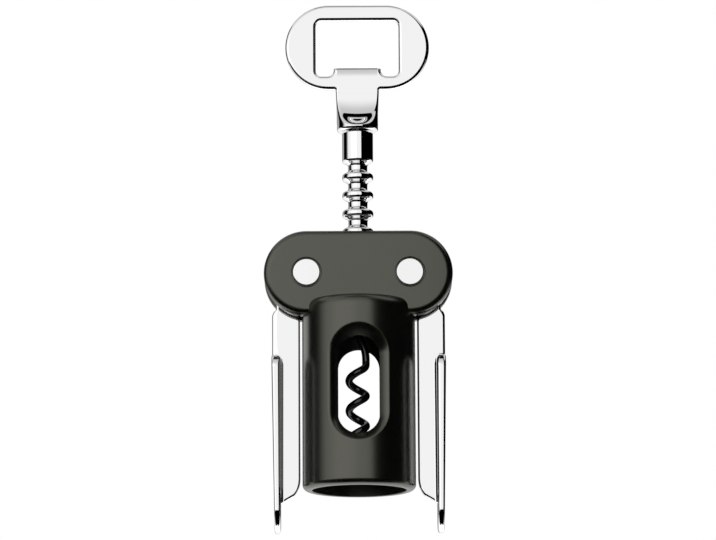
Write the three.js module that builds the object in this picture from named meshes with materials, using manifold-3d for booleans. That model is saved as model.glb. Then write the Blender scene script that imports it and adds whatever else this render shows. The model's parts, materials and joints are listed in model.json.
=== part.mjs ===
// A winged corkscrew in millimetres. The axis of the screw is +Z, the front is -Y, and the origin is the
// centre of the barrel's mouth. Both levers hang beside the barrel, and the screw is drawn up.

import * as THREE from "three";
import { mergeVertices } from "three/addons/utils/BufferGeometryUtils.js";
import Module from "manifold-3d";

const wasm = await Module();
wasm.setup();

// Fits that several pieces share.
const runningGap = 0.3; // between pieces that turn or slide on each other
const seatGap = 0.3; // between pieces that are fixed to each other
const cutOverrun = 4; // how far a cut runs past the face that it opens
const weldDistance = 1e-4; // points nearer than this are one point

// Barrel of the housing.
const barrelRadius = 20;
const barrelWall = 3.4;
const barrelHeight = 67.4;
const barrelShoulderRound = 2.4;
const mouthRound = 1.6;
const mouthChamfer = 0.4;
const barrelFloor = 3.8; // between the top of the bore and the levers' slot

// Windows in the barrel's front and back.
const windowWidth = 14.7;
const windowBottom = 18.2;
const windowTop = 52.8;
const windowFlare = 3; // rounding of the window's edge into the barrel's outside

// Head of the housing.
const pivotSpacing = 36.6;
const pivotRise = 9.2; // from the barrel's shoulder to the pivots
const headThickness = 19.5;
const headEdgeRound = 2.3;
const cheekLip = 0.4; // how far the cheeks stand out past the teeth
const slotRadialGap = 0.6; // between the teeth and the slot around them
const roofThickness = 1.4; // of the slot's roof where it ends

// Pivot pins and the caps that close them.
const pinHeadRadius = 4.8;
const pinHeadThickness = 2.2;
const pinHeadRound = 0.35;
const pinHeadProud = 0.2;
const pinRingGap = 0.5; // the dark ring round a pin's head
const pinShankRadius = 3;
const pinSpigotRadius = 1.5;

// Rings of the spindle, which are the rack that the levers drive.
const ringRadius = 5.55;
const rootRadius = 3.3;
const rackPitch = 6.65;
const ringThickness = 3; // at half the ring's depth
const rackBacklash = 0.4;
const toothTipGap = 0.3;
const pressureAngle = THREE.MathUtils.degToRad(20);
const collarBottom = 117.5; // at half the rings' depth
const collarHeight = 11.2;
const collarRound = 0.5;
const tenonRadius = 2.4;
const tenonHeight = 4.3;

// Socket at the spindle's lower end.
const socketRadius = 4.3;
const socketRise = 3.3; // how far the socket's end stays above the windows
const socketEdge = 0.5;
const shankDepth = 9.4;
const setPinRadius = 1;

// Worm.
const wireRadius = 1.35;
const wormRadius = 4.25;
const wormPitch = 10.7;
const wormRightTurn = 33.75; // height of one of the places where the worm is furthest to the right
const wormTip = 8.6;
const wormTaper = 9; // length of the worm along the axis over which it narrows to its tip
const wormBend = 5.2; // length along the axis of the bend from the shank into the first turn

// Handle.
const bossRadius = 7.3;
const bossEdge = 0.4;
const ringCentre = 160.05;
const ringWidth = 51.5;
const ringHeight = 30.8;
const plateThickness = 3;
const plateEdge = 0.45;
const neckFillet = 0.7;
const openingWidth = 30.8;
const openingTop = 170.4;
const openingCorner = 2.2;
const notchBottom = 148.85;
const notchCorner = 1.3;
const tongueTop = 151.9;
const tongueTopWidth = 16.6;
const tongueBaseWidth = 21.4;
const scoopTop = 139.6;
const scoopRadius = 9.5;
const crossPinRadius = 1;

// Guide bush in the head's top.
const bushWall = 1.5;
const bushHeight = 2.4;

// Levers.
const hubThickness = 8;
const leverTravel = THREE.MathUtils.degToRad(140);
const barrelToLever = 0.7;
const webWidth = 9.9;
const webThickness = 2.6;
const webBottom = -4.7; // where the web's lower edge meets the palm rest
const webInnerBottom = 4.5; // where the web's inner edge starts to curve to the palm rest
const webCurveBottom = -2;
const webShoulderDrop = 14.6; // from the pivot to the end of the web's upper outer curve
const palmRestInset = 1.4; // from the web's outer edge to the middle of the palm rest
const palmRestDepth = 18;
const palmRestBottom = -15;
const palmRestTop = 48;
const palmRestTopCorner = 5;
const palmRestTopThickness = 3.2;
const palmRestBottomThickness = 2.3;

// How finely curves are divided.
const barrelSides = 48;
const spindleSides = 24;
const pinSides = 20;
const smallPinSides = 12;
const outlineSteps = 10;
const roundSteps = 3;
const flankSteps = 4;
const hubArcSteps = 16;
const wireSides = 8;
const wireStepsPerTurn = 12;

// Sizes that follow from those above.
const boreRadius = barrelRadius - barrelWall;
const pivotX = pivotSpacing / 2;
const pivotHeight = barrelHeight + pivotRise;
const rackLineRadius = (ringRadius + rootRadius) / 2;
const pitchRadius = pivotX - rackLineRadius;
const halfRingDepth = (ringRadius - rootRadius) / 2;
const toothTipRadius = pitchRadius + halfRingDepth - toothTipGap;
const toothRootRadius = pitchRadius - halfRingDepth - toothTipGap;
const headRadius = toothTipRadius + cheekLip;
const headTop = pivotHeight + headRadius;
const slotRadius = toothTipRadius + slotRadialGap;
const slotWidth = hubThickness + 2 * runningGap;
const boreTop = pivotHeight - slotRadius - barrelFloor;
const bushInnerRadius = ringRadius + runningGap;
const bushOuterRadius = bushInnerRadius + bushWall;
const spindleHoleRadius = bushInnerRadius + runningGap;
const pinHoleRadius = pinShankRadius + runningGap;
const pinFace = headThickness / 2 + pinHeadProud;
const pinHeadInside = pinFace - pinHeadThickness;
const firstRing = collarBottom + ringThickness / 2 - rackPitch;
const socketBottom = windowTop + socketRise;
const socketTop = socketBottom + shankDepth;
const collarTop = collarBottom + collarHeight;
const bossBottom = collarTop + seatGap;
const webInner = barrelRadius + barrelToLever;
const palmRestX = webInner + webWidth - palmRestInset;

// Materials.
const plastic = { color: 0x4c4b46, roughness: 0.45, metalness: 0 };
const polished = { color: 0xe6e6e6, roughness: 0.08, metalness: 1 };
const darkWire = { color: 0x55565a, roughness: 0.15, metalness: 1 };
const pinSteel = { color: 0xf0f0ee, roughness: 0.2, metalness: 1 };
const bushPlastic = { color: 0x8c8c86, roughness: 0.5, metalness: 0 };

// A closed geometry as a solid that can be joined and cut, with its faces turned outwards.
function solidOf(geometry) {
  const bare = geometry.index ? geometry.toNonIndexed() : geometry.clone();
  bare.deleteAttribute("normal");
  bare.deleteAttribute("uv");
  const merged = mergeVertices(bare, weldDistance);
  const corners = [];
  for (let i = 0; i < merged.index.count; i += 3) {
    const [a, b, c] = [0, 1, 2].map((k) => merged.index.getX(i + k));
    if (a !== b && b !== c && c !== a) corners.push(a, b, c);
  }
  const vertProperties = merged.attributes.position.array;
  const build = (list) =>
    new wasm.Manifold(
      new wasm.Mesh({ numProp: 3, vertProperties, triVerts: new Uint32Array(list) }),
    );
  const made = build(corners);
  return made.volume() < 0 ? build(corners.reverse()) : made;
}

// A named mesh of a solid.
function meshOf(name, solid, look) {
  const made = solid.getMesh();
  const geometry = new THREE.BufferGeometry();
  geometry.setAttribute("position", new THREE.BufferAttribute(made.vertProperties, 3));
  geometry.setIndex(new THREE.BufferAttribute(made.triVerts, 1));
  const flat = geometry.toNonIndexed();
  flat.computeVertexNormals();
  const mesh = new THREE.Mesh(flat, new THREE.MeshStandardMaterial(look));
  mesh.name = name;
  return mesh;
}

// Points of an arc, from one angle to another, in a profile of radius and height.
function arc(centreX, centreY, radius, from, to, steps = roundSteps) {
  return Array.from({ length: steps + 1 }, (_, i) => {
    const angle = from + ((to - from) * i) / steps;
    return new THREE.Vector2(
      centreX + radius * Math.cos(angle),
      centreY + radius * Math.sin(angle),
    );
  });
}

const point = (x, y) => new THREE.Vector2(x, y);

// A profile of radius and height turned about the Z axis.
function turned(profile, sides) {
  return new THREE.LatheGeometry(profile, sides).rotateX(Math.PI / 2);
}

// The same about an axis along Y: the profile's height runs from the front to the back.
function turnedAlongY(profile, sides) {
  return new THREE.LatheGeometry(profile, sides);
}

function rod(radius, from, to, sides) {
  return turned([point(0, from), point(radius, from), point(radius, to), point(0, to)], sides);
}

function rodAlongY(radius, from, to, sides) {
  return turnedAlongY(
    [point(0, from), point(radius, from), point(radius, to), point(0, to)],
    sides,
  );
}

function rodAlongX(radius, from, to, sides) {
  return rod(radius, from, to, sides).rotateY(Math.PI / 2);
}

// A shape drawn in X and Z, thickened evenly to the front and the back, with edges rounded by round.
function plate(shape, thickness, round = 0, steps = roundSteps) {
  const geometry = new THREE.ExtrudeGeometry(shape, {
    depth: thickness - 2 * round,
    curveSegments: outlineSteps,
    bevelEnabled: round > 0,
    bevelThickness: round,
    bevelSize: round,
    bevelOffset: -round,
    bevelSegments: steps,
  });
  return geometry.rotateX(Math.PI / 2).translate(0, thickness / 2 - round, 0);
}

// A closed skin over rings of points: each ring is joined to the next, and the ends close on their middles.
function skin(rings) {
  const corners = [];
  const middle = (ring) =>
    ring.reduce((sum, p) => sum.add(p), new THREE.Vector3()).divideScalar(ring.length);
  const first = rings[0];
  const last = rings[rings.length - 1];
  first.forEach((p, i) => {
    const next = (i + 1) % first.length;
    rings.slice(1).forEach((ring, k) => {
      const before = rings[k];
      corners.push(before[i], before[next], ring[next], before[i], ring[next], ring[i]);
    });
    corners.push(first[next], first[i], middle(first), last[i], last[next], middle(last));
  });
  return new THREE.BufferGeometry().setFromPoints(corners);
}

// An upright outline with straight sides and half-round ends, as X and Z points.
function uprightStadium(halfWidth, bottom, top) {
  return [
    ...arc(0, top - halfWidth, halfWidth, 0, Math.PI, outlineSteps),
    ...arc(0, bottom + halfWidth, halfWidth, Math.PI, 2 * Math.PI, outlineSteps),
  ];
}

// Housing: the barrel that goes over a bottle's neck and the head that holds the levers.
function barrelSolid() {
  const profile = [
    point(boreRadius + mouthChamfer, 0),
    ...arc(barrelRadius - mouthRound, mouthRound, mouthRound, -Math.PI / 2, 0),
    ...arc(
      barrelRadius - barrelShoulderRound,
      barrelHeight - barrelShoulderRound,
      barrelShoulderRound,
      0,
      Math.PI / 2,
    ),
    point(spindleHoleRadius, barrelHeight),
    point(spindleHoleRadius, boreTop),
    point(boreRadius, boreTop),
    point(boreRadius, mouthChamfer),
    point(boreRadius + mouthChamfer, 0),
  ];
  return solidOf(turned(profile, barrelSides));
}

function headSolid() {
  const outline = new THREE.Shape();
  outline.absarc(pivotX, pivotHeight, headRadius, -Math.PI / 2, Math.PI / 2);
  outline.absarc(-pivotX, pivotHeight, headRadius, Math.PI / 2, (3 * Math.PI) / 2);
  return solidOf(plate(outline, headThickness, headEdgeRound));
}

// The space that one lever's hub turns in: round the teeth, and open above and outside for the web.
function leverSlot() {
  const outside = pivotX + headRadius + cutOverrun;
  const roofEnd = pivotX - Math.sqrt(slotRadius ** 2 - (headRadius - roofThickness) ** 2);
  const besideBarrel = barrelRadius + barrelToLever / 2;
  const round = new THREE.Shape();
  round.absarc(pivotX, pivotHeight, slotRadius, 0, 2 * Math.PI);
  const opening = new THREE.Shape([
    point(roofEnd, pivotHeight),
    point(besideBarrel, pivotHeight),
    point(besideBarrel, pivotHeight - headRadius - cutOverrun),
    point(outside, pivotHeight - headRadius - cutOverrun),
    point(outside, headTop + cutOverrun),
    point(roofEnd, headTop + cutOverrun),
  ]);
  return solidOf(plate(round, slotWidth)).add(solidOf(plate(opening, slotWidth)));
}

// One window's cut: straight through the wall from front to back, with a rounded edge outside.
function windowCut() {
  const ringAt = (shellRadius, widening) =>
    uprightStadium(
      windowWidth / 2 + widening,
      windowBottom - widening,
      windowTop + widening,
    ).map((p) => new THREE.Vector3(p.x, -Math.sqrt(shellRadius ** 2 - p.x ** 2), p.y));
  const throat = barrelRadius - windowFlare;
  const flare = arc(throat, windowFlare, windowFlare, -Math.PI / 2, 0).map((p) =>
    ringAt(p.x, p.y),
  );
  return solidOf(
    skin([
      ringAt(boreRadius - cutOverrun, 0),
      ...flare,
      ringAt(barrelRadius + cutOverrun, windowFlare),
    ]),
  );
}

// The hole for one pivot pin, with a seat for its head in front and for its cap behind.
function pinHole() {
  const seat = pinHeadInside - seatGap;
  const past = headThickness / 2 + cutOverrun;
  const wide = pinHeadRadius + pinRingGap;
  return solidOf(
    turnedAlongY(
      [
        point(0, -past),
        point(wide, -past),
        point(wide, -seat),
        point(pinHoleRadius, -seat),
        point(pinHoleRadius, seat),
        point(wide, seat),
        point(wide, past),
        point(0, past),
      ],
      pinSides,
    ).translate(pivotX, 0, pivotHeight),
  );
}

function housing() {
  const spindleHole = solidOf(
    turned(
      [
        point(0, boreTop + barrelFloor / 2),
        point(spindleHoleRadius, boreTop + barrelFloor / 2),
        point(spindleHoleRadius, headTop - bushHeight - runningGap),
        point(bushOuterRadius + runningGap, headTop - bushHeight - runningGap),
        point(bushOuterRadius + runningGap, headTop + cutOverrun),
        point(0, headTop + cutOverrun),
      ],
      barrelSides,
    ),
  );
  const bothSides = (cut) => [cut, cut.mirror([1, 0, 0])];
  const cuts = [
    spindleHole,
    ...bothSides(leverSlot()),
    ...bothSides(pinHole()),
    windowCut(),
    windowCut().mirror([0, 1, 0]),
  ];
  const whole = barrelSolid().add(headSolid());
  return meshOf(
    "housing",
    cuts.reduce((left, cut) => left.subtract(cut), whole),
    plastic,
  );
}

// Guide bush: a ring in the head's top that keeps the spindle on the axis.
function guideBush() {
  const bottom = headTop - bushHeight;
  const profile = [
    point(bushInnerRadius, bottom),
    point(bushOuterRadius, bottom),
    point(bushOuterRadius, headTop),
    point(bushInnerRadius, headTop),
    point(bushInnerRadius, bottom),
  ];
  return meshOf("guide_bush", solidOf(turned(profile, spindleSides)), bushPlastic);
}

// Pivot pin: a flat round head in the front cheek and a hollow shank that the lever turns on.
function pivotPin(name) {
  const end = pinHeadInside - seatGap;
  const hollow = pinSpigotRadius + seatGap;
  const profile = [
    point(0, -pinFace),
    ...arc(pinHeadRadius - pinHeadRound, pinHeadRound - pinFace, pinHeadRound, -Math.PI / 2, 0, 2),
    point(pinHeadRadius, -pinHeadInside),
    point(pinShankRadius, -pinHeadInside),
    point(pinShankRadius, end),
    point(hollow, end),
    point(hollow, -seatGap),
    point(0, -seatGap),
  ];
  return meshOf(name, solidOf(turnedAlongY(profile, pinSides)), pinSteel);
}

// Pivot cap: the head in the back cheek, with a spigot that is pressed into the pin's hollow shank.
function pivotCap(name) {
  const profile = [
    point(0, 0),
    point(pinSpigotRadius, 0),
    point(pinSpigotRadius, pinHeadInside),
    point(pinHeadRadius, pinHeadInside),
    ...arc(pinHeadRadius - pinHeadRound, pinFace - pinHeadRound, pinHeadRound, 0, Math.PI / 2, 2),
    point(0, pinFace),
  ];
  return meshOf(name, solidOf(turnedAlongY(profile, pinSides)), pinSteel);
}

// Rack spindle: collar, rings and the socket for the worm, turned from one bar.
const flankRun = halfRingDepth * Math.tan(pressureAngle);
const ringTipHalf = ringThickness / 2 - flankRun;
const ringRootHalf = ringThickness / 2 + flankRun;
const ringCount = 1 + Math.floor((firstRing - ringRootHalf - socketTop) / rackPitch);
const ringHeights = Array.from({ length: ringCount }, (_, i) => firstRing - i * rackPitch);

function rackSpindle() {
  const ringProfile = (height) => [
    point(rootRadius, height + ringRootHalf),
    point(ringRadius, height + ringTipHalf),
    point(ringRadius, height - ringTipHalf),
    point(rootRadius, height - ringRootHalf),
  ];
  const shankHole = wireRadius + seatGap;
  const profile = [
    point(0, collarTop + tenonHeight),
    point(tenonRadius, collarTop + tenonHeight),
    point(tenonRadius, collarTop),
    ...arc(ringRadius - collarRound, collarTop - collarRound, collarRound, Math.PI / 2, 0, 2),
    point(ringRadius, collarBottom + flankRun),
    point(rootRadius, collarBottom - flankRun),
    ...ringHeights.flatMap(ringProfile),
    point(rootRadius, socketTop),
    point(socketRadius, socketTop),
    point(socketRadius, socketBottom + socketEdge),
    point(socketRadius - socketEdge, socketBottom),
    point(shankHole, socketBottom),
    point(shankHole, socketTop + seatGap),
    point(0, socketTop + seatGap),
  ];
  const crossHole = solidOf(
    rodAlongX(crossPinRadius + seatGap, -ringRadius, ringRadius, smallPinSides).translate(
      0,
      0,
      crossPinHeight,
    ),
  );
  const setPinHole = solidOf(
    rodAlongX(setPinRadius + seatGap, 0, socketRadius + cutOverrun, smallPinSides).translate(
      0,
      0,
      setPinHeight,
    ),
  );
  const bar = solidOf(turned(profile, spindleSides));
  return meshOf("rack_spindle", bar.subtract(crossHole).subtract(setPinHole), polished);
}

// Cross pin: holds the spindle's tenon in the handle's boss.
const crossPinHeight = collarTop + tenonHeight / 2;

function handlePin() {
  const pin = rodAlongX(crossPinRadius, -pinReach, pinReach, smallPinSides);
  return meshOf("handle_pin", solidOf(pin.translate(0, 0, crossPinHeight)), pinSteel);
}
const pinReach = Math.sqrt(bossRadius ** 2 - crossPinRadius ** 2) - bossEdge;

// Set pin: holds the worm's shank in the spindle's socket from the side.
const setPinHeight = socketBottom + shankDepth / 2;

function wormPin() {
  const reach = Math.sqrt(socketRadius ** 2 - setPinRadius ** 2);
  const pin = rodAlongX(setPinRadius, wireRadius + seatGap, reach, smallPinSides);
  return meshOf("worm_pin", solidOf(pin.translate(0, 0, setPinHeight)), pinSteel);
}

// Worm: a round wire with a straight shank, bent into a right-handed screw that narrows to a point.
const helixRadius = wormRadius - wireRadius;
const bendEnd = wormRightTurn + wormPitch;

class WormPath extends THREE.Curve {
  getPoint(share, target = new THREE.Vector3()) {
    const height = THREE.MathUtils.lerp(socketTop, wormTip, share);
    const above = Math.max(0, height - bendEnd);
    const radius = helixRadius * (1 - THREE.MathUtils.smootherstep(above, 0, wormBend));
    const turn = (2 * Math.PI * (Math.min(height, bendEnd) - wormRightTurn)) / wormPitch;
    const ease = (2 * Math.PI * above * (1 - above / wormBend / 2)) / wormPitch;
    const angle = turn + (above < wormBend ? ease : 0);
    return target.set(radius * Math.cos(angle), radius * Math.sin(angle), height);
  }
}

function wormRings() {
  const path = new WormPath();
  path.arcLengthDivisions = Math.round(wireStepsPerTurn ** 2);
  const length = socketTop - wormTip;
  const steps = Math.round((wireStepsPerTurn * length) / wormPitch);
  const up = new THREE.Vector3(0, 0, 1);
  return Array.from({ length: steps + 1 }, (_, i) => {
    const share = i / steps;
    const centre = path.getPoint(share);
    const tangent = path.getTangent(share);
    const side = new THREE.Vector3(centre.x, centre.y, 0);
    if (side.length() < weldDistance) side.set(1, 0, 0);
    side.addScaledVector(tangent, -side.dot(tangent)).normalize();
    const across = new THREE.Vector3().crossVectors(tangent, side);
    const toTip = centre.dot(up) - wormTip;
    const radius = wireRadius * Math.sqrt(Math.min(1, Math.max(toTip, weldDistance) / wormTaper));
    return Array.from({ length: wireSides }, (_, k) => {
      const angle = (2 * Math.PI * k) / wireSides;
      return centre
        .clone()
        .addScaledVector(side, radius * Math.cos(angle))
        .addScaledVector(across, radius * Math.sin(angle));
    });
  });
}

// The least gap between two places of the wire that are at least half a turn apart along the axis.
function leastWormGap() {
  const path = new WormPath();
  const points = path.getPoints(wireStepsPerTurn * wireStepsPerTurn);
  let least = Infinity;
  points.forEach((a, i) =>
    points.slice(i + 1).forEach((b) => {
      if (a.z - b.z > wormPitch / 2) least = Math.min(least, a.distanceTo(b) - 2 * wireRadius);
    }),
  );
  return least;
}

function worm() {
  console.log("worm: least gap to itself " + leastWormGap().toFixed(2) + " mm");
  return meshOf("worm", solidOf(skin(wormRings())), darkWire);
}

// Handle: one casting with the ring, its cap lifter and the boss that holds the spindle.
function handleOutline() {
  const endRadius = ringHeight / 2;
  const endX = ringWidth / 2 - endRadius;
  const filletEnd = bossRadius + neckFillet;
  const alongEnd = Math.max(0, filletEnd - endX);
  const bottom = ringCentre - Math.sqrt(endRadius ** 2 - alongEnd ** 2);
  const start = Math.atan2(bottom - ringCentre, alongEnd);
  const outline = new THREE.Shape();
  outline.moveTo(-bossRadius, scoopTop);
  outline.lineTo(bossRadius, scoopTop);
  outline.lineTo(bossRadius, bottom - neckFillet);
  outline.quadraticCurveTo(bossRadius, bottom, filletEnd, bottom);
  outline.absarc(endX, ringCentre, endRadius, start, Math.PI / 2);
  outline.absarc(-endX, ringCentre, endRadius, Math.PI / 2, Math.PI - start);
  outline.lineTo(-filletEnd, bottom);
  outline.quadraticCurveTo(-bossRadius, bottom, -bossRadius, bottom - neckFillet);
  outline.closePath();
  return outline;
}

// Rounding of the tongue's upper corners. The edges' rounding can't be wider than it.
const tongueRound = (tongueBaseWidth - tongueTopWidth) / 8;
const ringEdge = Math.min(plateEdge, tongueRound);

// The opening that takes a crown cap, with the tongue that lifts the cap's edge.
function openingOutline() {
  const side = openingWidth / 2;
  const top = tongueTopWidth / 2;
  const base = tongueBaseWidth / 2;
  const middle = (top + base) / 2;
  const halfWay = (notchBottom + tongueTop) / 2;
  const outline = new THREE.Path();
  outline.moveTo(-side + openingCorner, openingTop);
  outline.quadraticCurveTo(-side, openingTop, -side, openingTop - openingCorner);
  outline.lineTo(-side, notchBottom + notchCorner);
  outline.quadraticCurveTo(-side, notchBottom, -side + notchCorner, notchBottom);
  outline.lineTo(-base, notchBottom);
  outline.quadraticCurveTo(-middle - tongueRound, notchBottom, -middle, halfWay);
  outline.quadraticCurveTo(-top - tongueRound, tongueTop, -top + tongueRound, tongueTop);
  outline.lineTo(top - tongueRound, tongueTop);
  outline.quadraticCurveTo(top + tongueRound, tongueTop, middle, halfWay);
  outline.quadraticCurveTo(middle + tongueRound, notchBottom, base, notchBottom);
  outline.lineTo(side - notchCorner, notchBottom);
  outline.quadraticCurveTo(side, notchBottom, side, notchBottom + notchCorner);
  outline.lineTo(side, openingTop - openingCorner);
  outline.quadraticCurveTo(side, openingTop, side - openingCorner, openingTop);
  return outline;
}

function handle() {
  const outline = handleOutline();
  outline.holes.push(openingOutline());
  const ring = solidOf(plate(outline, plateThickness, ringEdge, 2));
  const bossProfile = [
    point(0, bossBottom),
    point(bossRadius - bossEdge, bossBottom),
    point(bossRadius, bossBottom + bossEdge),
    point(bossRadius, scoopTop + plateEdge),
    point(0, scoopTop + plateEdge),
  ];
  const boss = solidOf(turned(bossProfile, barrelSides));
  const scoop = solidOf(
    rodAlongX(
      scoopRadius,
      -bossRadius - cutOverrun,
      bossRadius + cutOverrun,
      barrelSides,
    ).translate(0, -plateThickness / 2 - scoopRadius, scoopTop),
  );
  const tenonHole = solidOf(
    rod(
      tenonRadius + seatGap,
      bossBottom - cutOverrun,
      collarTop + tenonHeight + seatGap,
      spindleSides,
    ),
  );
  const crossHole = solidOf(
    rodAlongX(
      crossPinRadius + seatGap,
      -bossRadius - cutOverrun,
      bossRadius + cutOverrun,
      smallPinSides,
    ).translate(0, 0, crossPinHeight),
  );
  const whole = boss
    .subtract(scoop)
    .subtract(scoop.mirror([0, 1, 0]))
    .add(ring)
    .subtract(tenonHole)
    .subtract(crossHole);
  return meshOf("handle", whole, polished);
}

// Left lever, drawn about its pivot: +X points to the spindle, and the right lever is its mirror image.
const toothAngle = rackPitch / pitchRadius;
const toothThickness = rackPitch - ringThickness - rackBacklash;
const baseRadius = pitchRadius * Math.cos(pressureAngle);
// How far past the line of the pivots there are still teeth, as a share of a tooth's angle.
const meshReachShare = 1.4;

// The angle between a tooth's middle and its involute flank at a radius.
function flankAngle(radius) {
  const slope = Math.acos(Math.min(1, baseRadius / radius));
  const involute = (angle) => Math.tan(angle) - angle;
  return toothThickness / 2 / pitchRadius + involute(pressureAngle) - involute(slope);
}

// Outline of the hub: teeth wherever the rings can reach it over the lever's travel, plain elsewhere.
function hubOutline() {
  const gapHeight =
    firstRing +
    rackPitch / 2 -
    rackPitch * Math.round((firstRing + rackPitch / 2 - pivotHeight) / rackPitch);
  const restAngle = (gapHeight - pivotHeight) / pitchRadius;
  const reach = meshReachShare * toothAngle;
  const first = Math.ceil((-reach - restAngle) / toothAngle);
  const last = Math.floor((leverTravel + reach - restAngle) / toothAngle);
  const polar = (radius, angle) => point(radius * Math.cos(angle), radius * Math.sin(angle));
  const radii = Array.from({ length: flankSteps + 1 }, (_, i) =>
    THREE.MathUtils.lerp(toothRootRadius, toothTipRadius, i / flankSteps),
  );
  const points = [];
  for (let tooth = first; tooth <= last; tooth++) {
    const middle = restAngle + tooth * toothAngle;
    radii.forEach((radius) => points.push(polar(radius, middle - flankAngle(radius))));
    [...radii]
      .reverse()
      .forEach((radius) => points.push(polar(radius, middle + flankAngle(radius))));
  }
  const plainStart = restAngle + (last + 0.5) * toothAngle;
  const plainEnd = restAngle + (first - 0.5) * toothAngle + 2 * Math.PI;
  return [...points, ...arc(0, 0, toothTipRadius, plainStart, plainEnd, hubArcSteps)];
}

// Outline of the web that hangs from the hub and carries the palm rest.
function webOutline() {
  const inner = pivotX - webInner;
  const outer = inner - webWidth;
  const rest = pivotX - palmRestX;
  const shoulder = -webShoulderDrop;
  const down = (height) => height - pivotHeight;
  const outline = new THREE.Shape();
  outline.moveTo(inner, -pinHoleRadius);
  outline.lineTo(outer + palmRestInset, -pinHoleRadius);
  outline.lineTo(outer + palmRestInset, shoulder + 2 * palmRestInset);
  outline.quadraticCurveTo(outer, shoulder + palmRestInset, outer, shoulder);
  outline.lineTo(outer, down(palmRestTop));
  outline.lineTo(rest, down(palmRestTop));
  outline.lineTo(rest, down(webBottom));
  outline.lineTo(rest + palmRestInset, down(webBottom));
  outline.quadraticCurveTo(
    inner - webWidth / 3,
    down(webCurveBottom - palmRestInset / 2),
    inner - webWidth / 4,
    down(webCurveBottom),
  );
  outline.quadraticCurveTo(
    inner,
    down((webCurveBottom + webInnerBottom) / 3),
    inner,
    down(webInnerBottom),
  );
  outline.closePath();
  return outline;
}

// Palm rest: a tongue square to the web, a little thicker at its top, with a half-round lower end.
function palmRestSolid() {
  const half = palmRestDepth / 2;
  const corner = palmRestTopCorner;
  const down = (height) => height - pivotHeight;
  const outline = new THREE.Shape();
  outline.absarc(0, down(palmRestBottom) + half, half, Math.PI, 2 * Math.PI);
  outline.absarc(half - corner, down(palmRestTop) - corner, corner, 0, Math.PI / 2);
  outline.absarc(corner - half, down(palmRestTop) - corner, corner, Math.PI / 2, Math.PI);
  const geometry = plate(outline, 1).rotateZ(Math.PI / 2);
  const places = geometry.attributes.position;
  for (let i = 0; i < places.count; i++) {
    const share =
      (places.getZ(i) - down(palmRestBottom)) / (palmRestTop - palmRestBottom);
    const thickness = THREE.MathUtils.lerp(palmRestBottomThickness, palmRestTopThickness, share);
    places.setX(i, places.getX(i) * thickness);
  }
  return solidOf(geometry.translate(pivotX - palmRestX, 0, 0));
}

function lever(name) {
  const hub = solidOf(plate(new THREE.Shape(hubOutline()), hubThickness));
  const web = solidOf(plate(webOutline(), webThickness));
  const bore = solidOf(rodAlongY(pinHoleRadius, -hubThickness, hubThickness, pinSides));
  return meshOf(name, hub.add(web).add(palmRestSolid()).subtract(bore), polished);
}

// Everything at rest.
const corkscrew = new THREE.Group();
corkscrew.add(housing(), guideBush(), rackSpindle(), handlePin(), wormPin(), worm(), handle());
for (const [side, sign] of [
  ["left", -1],
  ["right", 1],
]) {
  const pivot = new THREE.Group();
  pivot.position.set(sign * pivotX, 0, pivotHeight);
  const wing = lever("lever_" + side);
  wing.scale.x = -sign;
  pivot.add(wing, pivotPin("pivot_pin_" + side), pivotCap("pivot_cap_" + side));
  corkscrew.add(pivot);
}

export default corkscrew;
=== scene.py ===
# A winged corkscrew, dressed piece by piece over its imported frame. The screw's axis is +Z, the front is -Y,
# and the origin is the middle of the barrel's mouth.
import json
import math

import bmesh
import bpy
from mathutils import Matrix, Vector
from mathutils.geometry import interpolate_bezier, intersect_line_line


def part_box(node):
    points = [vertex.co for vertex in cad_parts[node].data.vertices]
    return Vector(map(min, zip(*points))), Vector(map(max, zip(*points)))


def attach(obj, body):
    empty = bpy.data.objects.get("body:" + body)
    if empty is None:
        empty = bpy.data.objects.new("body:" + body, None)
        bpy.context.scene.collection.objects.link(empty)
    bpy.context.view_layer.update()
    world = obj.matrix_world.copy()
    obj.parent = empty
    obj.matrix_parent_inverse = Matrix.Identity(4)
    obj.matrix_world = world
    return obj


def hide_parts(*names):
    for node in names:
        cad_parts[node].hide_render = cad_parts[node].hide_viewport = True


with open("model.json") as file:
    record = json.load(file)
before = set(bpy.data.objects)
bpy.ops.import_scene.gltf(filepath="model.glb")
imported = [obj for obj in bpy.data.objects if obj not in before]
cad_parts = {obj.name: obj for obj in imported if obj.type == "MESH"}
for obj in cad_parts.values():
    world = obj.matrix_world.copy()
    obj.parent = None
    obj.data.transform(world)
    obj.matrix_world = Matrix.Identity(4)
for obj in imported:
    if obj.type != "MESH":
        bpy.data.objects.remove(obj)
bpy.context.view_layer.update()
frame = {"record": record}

# Camera: a long lens a little below the mouth, looking up at the corkscrew from straight in front.
camera_distance = 1.5
camera_rise = math.radians(-10.4)
camera_roll = math.radians(-0.3)
aim = Vector((-0.00009, 0, 0.079))
sensor_width = 36
lens_length = 212.4

camera = bpy.data.objects.new("camera", bpy.data.cameras.new("camera"))
bpy.context.scene.collection.objects.link(camera)
bpy.context.scene.camera = camera
camera.data.sensor_width = sensor_width
camera.data.lens = lens_length
towards_camera = Vector((0, -math.cos(camera_rise), math.sin(camera_rise)))
camera.location = aim + camera_distance * towards_camera
camera.rotation_mode = "QUATERNION"
look = (-towards_camera).to_track_quat("-Z", "Y").to_matrix()
camera.rotation_quaternion = (look @ Matrix.Rotation(camera_roll, 3, "Z")).to_quaternion()
bpy.context.scene.view_settings.view_transform = "Standard"


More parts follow.
